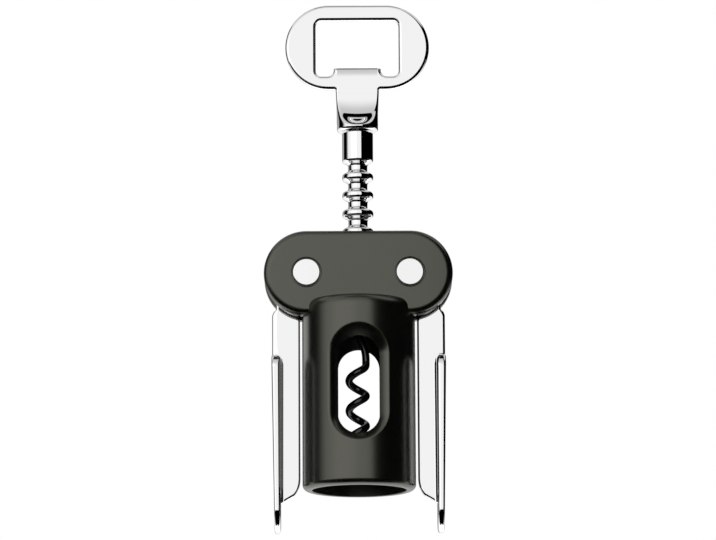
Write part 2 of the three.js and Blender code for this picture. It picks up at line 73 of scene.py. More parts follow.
# Studio: white all round, with dark cards that the polished metal mirrors, one soft lamp at the front left
# and a pale floor far below.
class Value:
    """An output in a node tree. Arithmetic on it adds Math nodes, and node() adds any other kind."""

    def __init__(self, tree, output=None):
        self.tree, self.output = tree, output

    def node(self, kind, settings=None, inputs=None, output=0):
        node = self.tree.nodes.new("ShaderNode" + kind)
        for name, value in (settings or {}).items():
            setattr(node, name, value)
        for name, value in (inputs or {}).items():
            if isinstance(value, Value):
                self.tree.links.new(value.output, node.inputs[name])
            else:
                node.inputs[name].default_value = value
        return Value(self.tree, node.outputs[output] if node.outputs else None)

    def math(self, operation, *values):
        return self.node("Math", {"operation": operation}, dict(enumerate(values)))

    def __add__(self, other):
        return self.math("ADD", self, other)

    def __sub__(self, other):
        return self.math("SUBTRACT", self, other)

    def __rsub__(self, other):
        return self.math("SUBTRACT", other, self)

    def __mul__(self, other):
        return self.math("MULTIPLY", self, other)

    def __truediv__(self, other):
        return self.math("DIVIDE", self, other)

    def rise(self, low, high):
        """0 below low, 1 above high, and smooth between them."""
        span = {"Value": self, "From Min": low, "From Max": high}
        return self.node("MapRange", {"interpolation_type": "SMOOTHSTEP"}, span)

    def band(self, low, high, soft):
        """1 from low to high, falling to 0 over soft[0] below it and over soft[1] above it."""
        return self.rise(low - soft[0], low) - self.rise(high, high + soft[1])

    __radd__ = __add__
    __rmul__ = __mul__


def begin(owner):
    """The emptied node tree of a material or of the world, ready for its first nodes."""
    owner.use_nodes = True
    owner.node_tree.nodes.clear()
    return Value(owner.node_tree)


# What the surfaces mirror. Directions are in degrees: 0 is straight to the front, and more is towards the
# right. Each card has its azimuths, its elevations, how softly its edges fall off and how dark it is, or how
# bright, where that is below 0.
cards = [
    {"azimuths": (30, 157), "elevations": (-4, 38), "soft": (4, 10, 6, 6), "dark": 1},
    {"azimuths": (-122, -92), "elevations": (-4, 38), "soft": (10, 24, 6, 6), "dark": 1},
    {"azimuths": (-180, -134), "elevations": (-2, 38), "soft": (1, 10, 4, 6), "dark": 0.65},
    {"azimuths": (-100, 100), "elevations": (-82, -8), "soft": (10, 10, 3, 3), "dark": 1},
    {"azimuths": (110, 180), "elevations": (-82, -36), "soft": (10, 1, 6, 6), "dark": -0.5},
    {"azimuths": (-180, -110), "elevations": (-82, -36), "soft": (1, 10, 6, 6), "dark": -0.5},
]
front_white = 0.93
ceiling_white = 0.58
ceiling_start, ceiling_end = 12, 65
fill_light = 0.55

# A dark hatch in the ceiling, measured on a ceiling at a height of 1, with a soft edge.
hatch_half = 0.3
hatch_front, hatch_back = -0.29, 0.05
hatch_inside, hatch_outside = 0.75, 1.25
hatch_squareness = 4
lowest_above = 0.01

world = bpy.data.worlds.new("studio")
bpy.context.scene.world = world
world.cycles.sampling_method = "NONE"
sky = begin(world)
direction = sky.node("TexCoord", output="Generated")
x, y, z = (sky.node("SeparateXYZ", inputs={0: direction}, output=i) for i in range(3))
azimuth = sky.math("ARCTAN2", x, 0 - y) * math.degrees(1)
elevation = sky.math("ARCSINE", z) * math.degrees(1)
mirrored = front_white - elevation.rise(ceiling_start, ceiling_end) * (front_white - ceiling_white)
for card in cards:
    across = azimuth.band(*card["azimuths"], card["soft"][:2])
    mirrored *= 1 - across * elevation.band(*card["elevations"], card["soft"][2:]) * card["dark"]
above = z.math("MAXIMUM", z, lowest_above)
right = x / above / hatch_half
back = (y / above - (hatch_front + hatch_back) / 2) / ((hatch_back - hatch_front) / 2)
off_hatch = right.math("POWER", right, hatch_squareness) + back.math("POWER", back, hatch_squareness)
mirrored *= off_hatch.rise(hatch_inside, hatch_outside)
ray = {
    name: sky.node("LightPath", output=name)
    for name in ("Is Camera Ray", "Is Glossy Ray", "Is Transmission Ray")
}
plain = ray["Is Camera Ray"] + ray["Is Transmission Ray"]
strength = plain + ray["Is Glossy Ray"] * mirrored + (1 - plain - ray["Is Glossy Ray"]) * fill_light
sky.node("OutputWorld", inputs={0: sky.node("Background", inputs={1: strength, 0: (1, 1, 1, 1)})})

lamp_place = Vector((-0.17, -0.3, 0.13))
lamp_width, lamp_height = 0.28, 0.3
lamp_radiance = 0.2
lamp = bpy.data.objects.new("key_lamp", bpy.data.lights.new("key_lamp", "AREA"))
bpy.context.scene.collection.objects.link(lamp)
lamp.data.shape = "RECTANGLE"
lamp.data.size, lamp.data.size_y = lamp_width, lamp_height
lamp.data.energy = lamp_radiance * math.pi * lamp_width * lamp_height
lamp.location = lamp_place
lamp.rotation_mode = "QUATERNION"
lamp.rotation_quaternion = (Vector((0, 0, lamp_place.z)) - lamp_place).to_track_quat("-Z", "Y")
lamp.visible_camera = False

# A card of black paper at the front right, seen only in what mirrors it.
card_edge = 0.044
card_distance = 0.092
card_middle = 0.08
card_width, card_height = 0.2, 0.4
black_paper = bpy.data.materials.new("black_paper")
paper = begin(black_paper)
paper.node("OutputMaterial", inputs={0: paper.node("BsdfDiffuse", inputs={0: (0, 0, 0, 1)})})
bpy.ops.mesh.primitive_plane_add(
    size=1,
    location=(card_edge + card_width / 2, -card_distance, card_middle),
    rotation=(math.pi / 2, 0, 0),
)
card = bpy.context.object
card.name = "black_card"
card.scale = (card_width, card_height, 1)
card.data.materials.append(black_paper)
card.visible_camera = card.visible_diffuse = card.visible_shadow = card.visible_transmission = False

floor_height = -0.5
floor_size = 8
floor_colour = (0.8, 0.8, 0.8, 1)
floor_glow = 0.3
bpy.ops.mesh.primitive_plane_add(size=floor_size, location=(0, 0, floor_height))
floor = bpy.context.object
floor.name = "floor"
floor.visible_glossy = False
floor_paint = bpy.data.materials.new("floor_paint")
floor.data.materials.append(floor_paint)
paint = begin(floor_paint)
seen = paint.node("LightPath", output="Is Camera Ray")
glow = paint.node("Emission", inputs={0: (1, 1, 1, 1), 1: seen * floor_glow})
matt = paint.node("BsdfDiffuse", inputs={0: floor_colour})
paint.node("OutputMaterial", inputs={0: paint.node("AddShader", inputs={0: glow, 1: matt})})


# Housing: one moulding of dark satin plastic. The barrel goes over a bottle's neck and has a window in front
# and behind, and the head's two cheeks hold the levers between them on the pivot pins.
# Shapes are made in millimetres, and finished() brings each of them to metres.
mm = 0.001
touching = 1e-4
tiny = 1e-9
sharpest_corner = 0.3


def frame_box(node):
    """A node's lowest and highest corners in millimetres."""
    return [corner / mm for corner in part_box(node)]


def rounded(corners, closed=True, steps=8):
    """Points of an outline whose corners are (x, y, radius), with an arc of that radius at each of them."""
    points = []
    for i, (x, y, radius) in enumerate(corners):
        corner = Vector((x, y))
        ends = not closed and i in (0, len(corners) - 1)
        if radius == 0 or ends:
            points.append(corner)
            continue
        before = (Vector(corners[i - 1][:2]) - corner).normalized()
        after = (Vector(corners[(i + 1) % len(corners)][:2]) - corner).normalized()
        half = before.angle(after) / 2
        centre = corner + (before + after).normalized() * radius / math.sin(half)
        start = corner + before * radius / math.tan(half) - centre
        turn = start.angle_signed(corner + after * radius / math.tan(half) - centre)
        for k in range(steps + 1):
            points.append(centre + Matrix.Rotation(-turn * k / steps, 2) @ start)
    return points


def curve(start, pull_start, pull_end, end, steps=12):
    """Points of a curve from start to end, drawn towards the two pulls."""
    return interpolate_bezier(Vector(start), Vector(pull_start), Vector(pull_end), Vector(end), steps)


def spun(profile, closed=True, steps=128, row=None):
    """A mesh of (radius, height) points spun about Z. A profile that isn't closed starts and ends on the
    axis. Where a row's length is given, longer edges are first divided into rows."""
    bm = bmesh.new()
    verts = [bm.verts.new((radius, 0, height)) for radius, height in profile]
    following = verts[1:] + (verts[:1] if closed else [])
    edges = [bm.edges.new(pair) for pair in zip(verts, following)]
    for edge in edges if row else []:
        count = int(edge.calc_length() // row)
        if count:
            bmesh.ops.subdivide_edges(bm, edges=[edge], cuts=count)
    section = bm.verts[:] + bm.edges[:]
    bmesh.ops.spin(bm, geom=section, axis=(0, 0, 1), angle=math.tau, steps=steps, use_merge=True)
    return closed_up(bm)


def closed_up(bm):
    """Joins what touches in a mesh and turns its faces outwards."""
    bmesh.ops.remove_doubles(bm, verts=bm.verts, dist=touching)
    bmesh.ops.recalc_face_normals(bm, faces=bm.faces)
    return bm


def drawn_in(line, depth):
    """A closed line with every point moved to its left by a depth: inwards, where it runs anticlockwise.
    Points that would pass each other at a tight corner are put where the corner's two sides meet."""
    points = []
    for before, point, after in zip(line[-1:] + line[:-1], line, line[1:] + line[:1]):
        ahead = (after - point).normalized()
        left = ((point - before).normalized() + ahead).orthogonal().normalized()
        points.append(point + left * depth / max(sharpest_corner, left.dot(ahead.orthogonal())))
    count = len(line)
    for _ in range(count):
        kept = [(points[i] - points[i - 1]).dot(line[i] - line[i - 1]) for i in range(count)]
        if min(kept) > -tiny:
            break
        for start in range(count):
            if kept[start] < tiny < kept[start - 1]:
                stop = start
                while kept[(stop + 1) % count] < tiny:
                    stop += 1
                sides = [points[k % count] for k in (start - 2, start - 1, stop, stop + 1)]
                for k in range(start - 1, stop + 1):
                    points[k % count] = intersect_line_line(*sides)[0].xy
    return points


def plate(outline, thickness, edge=0, steps=4, hole=None, back_edge=None):
    """A mesh of an outline in X and Z, thickened evenly to the front and the back, with rounded edges. It
    may have a hole, and the back edge may have a radius of its own."""
    bm = bmesh.new()
    turns = [math.pi / 2 * k / steps for k in range(steps + 1)]
    back_edge = edge if back_edge is None else back_edge
    section = [(edge * (1 - math.sin(turn)), edge * (1 - math.cos(turn)) - thickness / 2) for turn in turns]
    section += [(back_edge * (1 - math.sin(turn)), thickness / 2 - back_edge * (1 - math.cos(turn)))
                for turn in reversed(turns)]
    for line, turn in [(outline, 1)] + ([(hole, -1)] if hole else []):
        points = [Vector(p) for p in line]
        points = [p for before, p in zip(points[-1:] + points, points) if (p - before).length > touching]
        area = sum(a.cross(b) for a, b in zip(points, points[1:] + points[:1]))
        if area * turn < 0:
            points.reverse()
        rings = [[(x, place, z) for x, z in drawn_in(points, depth)] for depth, place in section]
        skin(bm, rings)
    bmesh.ops.remove_doubles(bm, verts=bm.verts, dist=touching)
    for side in (-1, 1):
        rim = [e for e in bm.edges if e.is_boundary and e.verts[0].co.y * side > 0]
        bmesh.ops.triangle_fill(bm, edges=rim, use_beauty=True)
    return closed_up(bm)


def skin(bm, rings):
    """Lays faces from each ring of points to the next. Gives the first ring's edges and the last one's."""
    verts = [bm.verts.new(p) for p in rings[0]]
    first = edges = [bm.edges.new(pair) for pair in zip(verts, verts[1:] + verts[:1])]
    for ring in rings[1:]:
        made = bmesh.ops.extrude_edge_only(bm, edges=edges)["geom"]
        edges = [e for e in made if isinstance(e, bmesh.types.BMEdge)]
        fresh = [v for v in made if isinstance(v, bmesh.types.BMVert)]
        for vert, place in zip(fresh, ring):
            vert.co = place
    return first, edges


def lofted(rings):
    """A closed mesh through rings of points, with both ends filled."""
    bm = bmesh.new()
    for edges in skin(bm, rings):
        bmesh.ops.edgenet_fill(bm, edges=edges)
    return closed_up(bm)


def moved(bm, place=(0, 0, 0), turn=0, axis="X", stretch=(1, 1, 1)):
    """The mesh stretched, turned about an axis and moved."""
    bmesh.ops.scale(bm, verts=bm.verts, vec=stretch)
    bmesh.ops.rotate(bm, verts=bm.verts, cent=(0, 0, 0), matrix=Matrix.Rotation(turn, 3, axis))
    bmesh.ops.translate(bm, verts=bm.verts, vec=place)
    bmesh.ops.recalc_face_normals(bm, faces=bm.faces)
    return bm


def solid(bm, name="cutter"):
    """An object made of a mesh."""
    mesh = bpy.data.meshes.new(name)
    bm.to_mesh(mesh)
    bm.free()
    made = bpy.data.objects.new(name, mesh)
    bpy.context.scene.collection.objects.link(made)
    return made


def combine(piece, other, operation="DIFFERENCE"):
    """Cuts another object from a piece, or joins it on, and removes the other object."""
    step = piece.modifiers.new("combine", "BOOLEAN")
    step.operation, step.solver, step.object = operation, "EXACT", other
    with bpy.context.temp_override(object=piece, active_object=piece):
        bpy.ops.object.modifier_apply(modifier=step.name)
    bpy.data.meshes.remove(other.data)


def finished(piece, node, body, material, crease=30):
    """Brings a piece to metres, smooths it up to its creases and ties it to the frame."""
    piece.data.transform(Matrix.Scale(mm, 4))
    piece.data.shade_smooth()
    piece.data.set_sharp_from_angle(angle=math.radians(crease))
    piece.modifiers.new("even_shading", "WEIGHTED_NORMAL").keep_sharp = True
    piece.data.materials.clear()
    piece.data.materials.append(material)
    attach(piece, body)
    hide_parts(node)


def surface(name, build):
    """A material whose Principled inputs are what build gives for its node tree."""
    made = bpy.data.materials.new(name)
    start = begin(made)
    start.node("OutputMaterial", inputs={0: start.node("BsdfPrincipled", inputs=build(start))})
    return made


def moulded_plastic(start):
    """Satin plastic with the fine even grain of its mould and faint flow marks."""
    place = start.node("TexCoord", output="Object")
    grain = start.node("TexNoise", inputs={"Vector": place, "Scale": 6000, "Detail": 2})
    flow = start.node("TexNoise", inputs={"Vector": place, "Scale": 90, "Detail": 3})
    dark, light = (0.002, 0.002, 0.0018, 1), (0.003, 0.003, 0.0026, 1)
    colour = start.node("Mix", {"data_type": "RGBA"}, {0: flow, 6: dark, 7: light}, output=2)
    bump = start.node("Bump", inputs={"Strength": 0.12, "Distance": 0.00002, "Height": grain})
    return {
        "Base Color": colour,
        "Roughness": 0.24 + 0.05 * flow + 0.04 * grain,
        "IOR": 2.0,
        "Specular Tint": (1, 1, 0.86, 1),
        "Normal": bump,
    }


housing_plastic = surface("housing_plastic", moulded_plastic)

housing_low, housing_high = frame_box("housing")
hub_low = frame_box("lever_right")[0]
pin_low, pin_high = frame_box("pivot_pin_right")
barrel_radius = -housing_low.y
head_top = housing_high.z
pivot_x = (pin_low.x + pin_high.x) / 2
pivot_z = (pin_low.z + pin_high.z) / 2
head_radius = housing_high.x - pivot_x
barrel_wall = 3.4
bore_radius = barrel_radius - barrel_wall
barrel_height = 67.65
shoulder_round = 3.8
mouth_round = 2.2
mouth_chamfer = 0.4
bore_top = 57.5
spindle_hole = 6.15
head_thickness = 19.5
head_edge = 2.3
row_height = 2
overrun = 4
shorter_overrun = 1

barrel_outline = rounded(
    [
        (bore_radius, 0, mouth_chamfer),
        (barrel_radius, 0, mouth_round),
        (barrel_radius, barrel_height, shoulder_round),
        (spindle_hole, barrel_height, 0),
        (spindle_hole, bore_top, 0),
        (bore_radius, bore_top, 0),
    ]
)
housing = solid(spun(barrel_outline, steps=192, row=row_height), "housing_shell")
head_outline = rounded(
    [
        (side * (pivot_x + head_radius), pivot_z + rise * head_radius, head_radius)
        for side, rise in ((1, -1), (1, 1), (-1, 1), (-1, -1))
    ],
    steps=48,
)
combine(housing, solid(plate(head_outline, head_thickness, head_edge, steps=8)), "UNION")

slot_radius = 15.3
slot_width = 8.6
roof_thickness = 1.4
barrel_clearance = 0.35
beside_barrel = barrel_radius + barrel_clearance
roof_end = pivot_x - math.sqrt(slot_radius**2 - (head_radius - roof_thickness) ** 2)
outside = pivot_x + head_radius + overrun
slot_bottom = pivot_z - head_radius - overrun
slot_outline = [
    (roof_end, pivot_z),
    (beside_barrel, pivot_z),
    (beside_barrel, slot_bottom),
    (outside, slot_bottom),
    (outside, head_top + overrun),
    (roof_end, head_top + overrun),
]
slot_disc = rounded([(slot_radius * a, slot_radius * b, slot_radius) for a, b in
                     ((1, -1), (1, 1), (-1, 1), (-1, -1))], steps=32)
pin_seat_radius = 5.4
pin_seat_depth = 2.5
pin_hole = 3.3
seat_lip = 0.1
cheek = head_thickness / 2
seat_outline = [
    (0, -cheek - overrun),
    (pin_seat_radius + overrun, -cheek - overrun),
    (pin_seat_radius + seat_lip, -cheek),
    (pin_seat_radius, -cheek + seat_lip),
    (pin_seat_radius, -cheek + pin_seat_depth),
    (pin_hole, -cheek + pin_seat_depth),
]
seat_outline += [(radius, -height) for radius, height in reversed(seat_outline)]
for side in (-1, 1):
    pivot = (side * pivot_x, 0, pivot_z)
    combine(housing, solid(moved(plate(slot_disc, slot_width), pivot)))
    combine(housing, solid(moved(plate(slot_outline, slot_width), stretch=(side, 1, 1))))
    seat = spun(seat_outline, closed=False, steps=64)
    combine(housing, solid(moved(seat, pivot, math.pi / 2)))

bush_radius = 7.35
bush_height = 2.4
fit = 0.3
bush_seat = [
    (0, bore_top + shorter_overrun),
    (spindle_hole, bore_top + shorter_overrun),
    (spindle_hole, head_top - bush_height - fit),
    (bush_radius + fit, head_top - bush_height - fit),
    (bush_radius + fit, head_top + shorter_overrun),
    (0, head_top + shorter_overrun),
]
combine(housing, solid(spun(bush_seat, closed=False, steps=96)))

window_half = 7.35
window_bottom = 18.2
window_top = 52.8
window_flare = 3.5
flare_above = 1.25
flare_below = 0.83
flare_deep_pull = (0.26, 0.66)
flare_rim_pull = (0.72, 0.03)
flare_steps = 16
bore_overlap = 0.1
window_steps = 24


def window_ring(shell_radius, wider):
    """An outline of the window, wider by that much, laid on a shell of the barrel's axis."""
    half = window_half + wider
    low, high = window_bottom - wider * flare_below, window_top + wider * flare_above
    corners = [(half, low, half), (half, high, half), (-half, high, half), (-half, low, half)]
    points = rounded(corners, steps=window_steps)
    return [(x, -math.sqrt(shell_radius**2 - x**2), z) for x, z in points]


window_rings = [window_ring(bore_radius - overrun, 0), window_ring(bore_radius - bore_overlap, 0)]
pulls = [(window_flare * wide, barrel_wall * deep) for wide, deep in (flare_deep_pull, flare_rim_pull)]
flare = curve((0, barrel_wall), *pulls, (window_flare, 0), flare_steps)
for wider, depth in flare:
    window_rings.append(window_ring(barrel_radius - depth, wider))
window_rings.append(window_ring(barrel_radius + overrun, window_flare))
for half_turn in (0, math.pi):
    combine(housing, solid(moved(lofted(window_rings), turn=half_turn, axis="Z")))
finished(housing, "housing", "housing", housing_plastic)


# Pivot pins and caps: two-piece steel rivets. The heads lie in round seats in the cheeks, faced flat on a
# lathe, and the levers turn on the shanks.
def turned_steel(start):
    """Bright steel with a faint fine speckle in its bump and its roughness."""
    place = start.node("TexCoord", output="Object")
    speckle = start.node("TexNoise", inputs={"Vector": place, "Scale": 900, "Detail": 3})
    bump = start.node("Bump", inputs={"Strength": 0.05, "Distance": 0.00001, "Height": speckle})
    return {
        "Base Color": (0.95, 0.95, 0.95, 1),
        "Metallic": 1,
        "Roughness": 0.12 + 0.06 * speckle,
        "Normal": bump,
    }


pin_steel = surface("pin_steel", turned_steel)
pin_head_radius = (pin_high.x - pin_low.x) / 2
pin_face = -pin_low.y
pin_head_thickness = 2.2
pin_head_round = 0.35
pin_shank = 3
pin_spigot = 1.5
head_inside = pin_face - pin_head_thickness
pin_outline = rounded(
    [
        (0, -pin_face, 0),
        (pin_head_radius, -pin_face, pin_head_round),
        (pin_head_radius, -head_inside, 0),
        (pin_shank, -head_inside, 0),
        (pin_shank, head_inside - fit, 0),
        (pin_spigot + fit, head_inside - fit, 0),
        (pin_spigot + fit, -fit, 0),
        (0, -fit, 0),
    ],
    closed=False,
)
cap_outline = rounded(
    [
        (0, 0, 0),
        (pin_spigot, 0, 0),
        (pin_spigot, head_inside, 0),
        (pin_head_radius, head_inside, 0),
        (pin_head_radius, pin_face, pin_head_round),
        (0, pin_face, 0),
    ],
    closed=False,
)
for side, sign in (("left", -1), ("right", 1)):
    for kind, outline in (("pin", pin_outline), ("cap", cap_outline)):
        name = f"pivot_{kind}_{side}"
        rivet = moved(spun(outline, closed=False, steps=96), (sign * pivot_x, 0, pivot_z), -math.pi / 2)
        rivet = solid(rivet, name + "_turned")
        body = next(b for b, nodes in frame["record"]["behaviour"]["bodies"].items() if name in nodes)
        finished(rivet, name, body, pin_steel)


# Guide bush: a plain plastic ring pressed into the head's top, which keeps the spindle on the axis.
def bush_plastic_look(start):
    """Smooth pale plastic, a little mottled."""
    place = start.node("TexCoord", output="Object")
    mottle = start.node("TexNoise", inputs={"Vector": place, "Scale": 700, "Detail": 2})
    dark, light = (0.2, 0.2, 0.19, 1), (0.26, 0.26, 0.245, 1)
    colour = start.node("Mix", {"data_type": "RGBA"}, {0: mottle, 6: dark, 7: light}, output=2)
    return {"Base Color": colour, "Roughness": 0.35 + 0.1 * mottle}


bush_plastic = surface("bush_plastic", bush_plastic_look)
bush_hole = 5.85
bush_edge = 0.3
bush_bottom = head_top - bush_height
bush_outline = rounded(
    [
        (radius, height, bush_edge)
        for radius, height in (
            (bush_hole, bush_bottom),
            (bush_radius, bush_bottom),
            (bush_radius, head_top),
            (bush_hole, head_top),
        )
    ]
)
bush = solid(spun(bush_outline, steps=96), "guide_ring")
finished(bush, "guide_bush", "guide_bush", bush_plastic)


# Rack spindle: turned from one bar and chromed. The collar sits under the handle's boss, the levers' teeth
# run in the rings, and the socket at the lower end holds the worm.
def polished_chrome(start):
    """Chrome plate over a polished surface, with hairline polishing marks and slightly duller patches."""
    place = start.node("TexCoord", output="Object")
    drawn = start.node("Mapping", inputs={"Vector": place, "Scale": (1, 1, 0.15)})
    hairs = start.node("TexNoise", inputs={"Vector": drawn, "Scale": 2500, "Detail": 2})
    patches = start.node("TexNoise", inputs={"Vector": place, "Scale": 60, "Detail": 2})
    bump = start.node("Bump", inputs={"Strength": 0.02, "Distance": 0.00001, "Height": hairs})
    return {
        "Base Color": (0.95, 0.952, 0.955, 1),
        "Metallic": 1,
        "Roughness": 0.02 + 0.03 * patches,
        "Normal": bump,
    }


chrome = surface("chrome", polished_chrome)
spindle_low, spindle_high = frame_box("rack_spindle")
ring_radius = spindle_high.x
root_radius = 3.45
rack_pitch = 6.65
ring_thickness = 3
pressure_angle = math.radians(20)
ring_tip_round = 1.2
ring_root_round = 1.3
collar_bottom = 117.5
collar_top = 128.7
collar_round = 0.5
tenon_radius = 2.4
socket_radius = 4.3
socket_top = 65.5
socket_top_round = 0.3
socket_edge = 0.5
shank_hole = 1.65
flank_run = (ring_radius - root_radius) / 2 * math.tan(pressure_angle)
tip_half = ring_thickness / 2 - flank_run
root_half = ring_thickness / 2 + flank_run
first_ring = collar_bottom + ring_thickness / 2 - rack_pitch
ring_count = 1 + int((first_ring - root_half - socket_top) // rack_pitch)
spindle_corners = [
    (0, spindle_high.z, 0),
    (tenon_radius, spindle_high.z, 0),
    (tenon_radius, collar_top, 0),
    (ring_radius, collar_top, collar_round),
    (ring_radius, collar_bottom + flank_run, ring_tip_round),
    (root_radius, collar_bottom - flank_run, ring_root_round),
]
for k in range(ring_count):
    middle = first_ring - k * rack_pitch
    spindle_corners += [
        (root_radius, middle + root_half, ring_root_round),
        (ring_radius, middle + tip_half, ring_tip_round),
        (ring_radius, middle - tip_half, ring_tip_round),
        (root_radius, middle - root_half, ring_root_round),
    ]
spindle_corners += [
    (root_radius, socket_top, 0),
    (socket_radius, socket_top, socket_top_round),
    (socket_radius, spindle_low.z, socket_edge),
    (shank_hole, spindle_low.z, 0),
    (shank_hole, socket_top + fit, 0),
    (0, socket_top + fit, 0),
]
spindle = solid(spun(rounded(spindle_corners, closed=False), closed=False, steps=128), "ringed_spindle")
finished(spindle, "rack_spindle", "screw", chrome)


# Worm: a round steel wire with a black slippery coating, wound into a right-handed screw that tapers to its
# point. A set pin through the socket's wall holds its straight shank.
def slippery_coating(start):
    """Glossy black coating, thinner and duller here and there."""
    place = start.node("TexCoord", output="Object")
    patches = start.node("TexNoise", inputs={"Vector": place, "Scale": 400, "Detail": 3})
    bump = start.node("Bump", inputs={"Strength": 0.08, "Distance": 0.00002, "Height": patches})
    return {
        "Base Color": (0.004, 0.004, 0.005, 1),
        "Roughness": 0.08 + 0.12 * patches,
        "Specular IOR Level": 0.8,
        "Normal": bump,
    }


worm_coating = surface("worm_coating", slippery_coating)
wire_radius = 1.35
worm_radius = 4.35
worm_pitch = 10.7
worm_right_turn = 33.75
worm_tip = 8.6
worm_taper = 9
worm_point_start = 0.02
worm_untwist = 3
worm_bend_start = 45.5
worm_bend_end = 55.8
worm_lean = -0.45
worm_steps = 180
helix_radius = worm_radius - wire_radius
untwist_start = worm_right_turn + worm_pitch - worm_untwist / 2


def worm_point(height):
    """The middle of the wire at a height."""
    slowing = min(max(0, height - untwist_start), worm_untwist)
    slowed = min(height, untwist_start) + slowing * (1 - slowing / worm_untwist / 2)
    turn = math.tau * (slowed - worm_right_turn) / worm_pitch
    share = (height - worm_bend_start) / (worm_bend_end - worm_bend_start)
    off_axis = (1 - min(1, max(0, share)) ** 3) ** 2
    across = off_axis * (helix_radius * math.cos(turn) + worm_lean)
    return across, off_axis * helix_radius * math.sin(turn), height


wire = bpy.data.curves.new("wire", "CURVE")
wire.dimensions = "3D"
wire.bevel_depth = wire_radius
wire.bevel_resolution = 8
wire.use_fill_caps = True
line = wire.splines.new("POLY")
line.points.add(worm_steps)
for k, spot in enumerate(line.points):
    height = socket_top + (worm_tip - socket_top) * k / worm_steps
    spot.co = (*worm_point(height), 1)
    spot.radius = math.sqrt(min(1, max(height - worm_tip, worm_point_start) / worm_taper))
wire_object = bpy.data.objects.new("wire", wire)
bpy.context.scene.collection.objects.link(wire_object)
bm = bmesh.new()
drawn_wire = wire_object.evaluated_get(bpy.context.evaluated_depsgraph_get())
bm.from_mesh(bpy.data.meshes.new_from_object(drawn_wire))
bpy.data.curves.remove(wire)
worm = solid(closed_up(bm), "worm_wire")
finished(worm, "worm", "screw", worm_coating, crease=50)

straight_pin_radius = 1
straight_pin_edge = 0.15


def straight_pin(node, name):
    """A straight steel pin through the axis, from the left to the right, as long and as high as its node."""
    low, high = frame_box(node)
    outline = rounded(
        [
            (0, low.x, 0),
            (straight_pin_radius, low.x, straight_pin_edge),
            (straight_pin_radius, high.x, straight_pin_edge),
            (0, high.x, 0),
        ],
        closed=False,
    )
    pin = spun(outline, closed=False, steps=32)
    pin = moved(pin, (0, 0, (low.z + high.z) / 2), math.pi / 2, "Y")
    finished(solid(pin, name), node, "screw", pin_steel)


straight_pin("worm_pin", "set_pin")


# Handle: one polished casting. The ring has an opening for a crown cap with a tongue that lifts its edge,
# and the neck swells into the round boss that is pinned to the spindle.
handle_low, handle_high = frame_box("handle")
plate_thickness = 3
ring_edge = 1.2
ring_half = handle_high.x
ring_end = 15.5
ring_middle = handle_high.z - ring_end
boss_radius = 7.4
neck_half = 7.7
neck_fillet = 0.7
neck_join = 143
opening_half = 14.85
opening_top = 169.7
opening_corner = 2
notch_bottom = 149.4
notch_corner = 2
tongue_top = 152.35
tongue_half = 8.4
tongue_round = 0.5
tongue_foot_round = 2.3
ring_low = ring_middle - ring_end
ring_outline = rounded(
    [
        (neck_half, neck_join, 0),
        (neck_half, ring_low, neck_fillet),
        (ring_half, ring_low, ring_end),
        (ring_half, handle_high.z, ring_end),
        (-ring_half, handle_high.z, ring_end),
        (-ring_half, ring_low, ring_end),
        (-neck_half, ring_low, neck_fillet),
        (-neck_half, neck_join, 0),
    ],
    steps=24,
)
opening_outline = rounded(
    [
        (opening_half, notch_bottom, notch_corner),
        (opening_half, opening_top, opening_corner),
        (-opening_half, opening_top, opening_corner),
        (-opening_half, notch_bottom, notch_corner),
        (-tongue_half, notch_bottom, tongue_foot_round),
        (-tongue_half, tongue_top, tongue_round),
        (tongue_half, tongue_top, tongue_round),
        (tongue_half, notch_bottom, tongue_foot_round),
    ],
    steps=12,
)
handle = plate(ring_outline, plate_thickness, ring_edge, steps=5, hole=opening_outline)
handle = solid(handle, "handle_casting")

boss_low = handle_low.z
boss_edge = 1.1
boss_edge_steps = 8
neck_top = 148
neck_widens = 136
scoop_middle = 141
scoop_round = 11.5
scoop_half_width = 21
rim_round = 2.4
neck_round = 1.7
neck_steps = 160
neck_row = 0.14
inset = 0.02
scoop_axis = plate_thickness / 2 + scoop_round


def scoop_depth(across, height):
    """How far a scooped face lies from the neck's middle: part of an ellipsoid below, and flat above."""
    drop = max(0, scoop_middle - height) / scoop_round
    inside = 1 - drop**2 - drop * (across / scoop_half_width) ** 2
    return scoop_axis - scoop_round * math.sqrt(max(0, inside))


def least(a, b, soft):
    """The smaller of two values, rounded over where they are nearer than soft."""
    near = max(0, soft - abs(a - b)) / soft
    return min(a, b) - near * near * soft / 4


def neck_ring(height):
    """The neck's outline at a height: the boss's circle, cut by the scooped faces in front and behind."""
    up = boss_edge - (height - boss_low)
    shrink = boss_edge - math.sqrt(boss_edge**2 - up**2) if up > 0 else 0
    inside = inset if height > neck_join else 0
    share = min(1, max(0, height - neck_widens) / (neck_join - neck_widens))
    radius = boss_radius + (neck_half - boss_radius) * share - shrink - inside
    soft = rim_round + (neck_round - rim_round) * share
    points = []
    for k in range(neck_steps):
        angle = math.tau * k / neck_steps
        across, along = radius * math.cos(angle), radius * math.sin(angle)
        deep = least(abs(along), scoop_depth(across, height) - inside, soft)
        points.append((across, math.copysign(max(0, deep), along), height))
    return points


turns = [math.pi / 2 * k / boss_edge_steps for k in range(boss_edge_steps)]
heights = [boss_low + boss_edge * (1 - math.cos(turn)) for turn in turns]
rows = int((neck_top - boss_low - boss_edge) / neck_row)
heights += [boss_low + boss_edge + (neck_top - boss_low - boss_edge) * k / rows for k in range(rows + 1)]
combine(handle, solid(lofted([neck_ring(height) for height in heights])), "UNION")

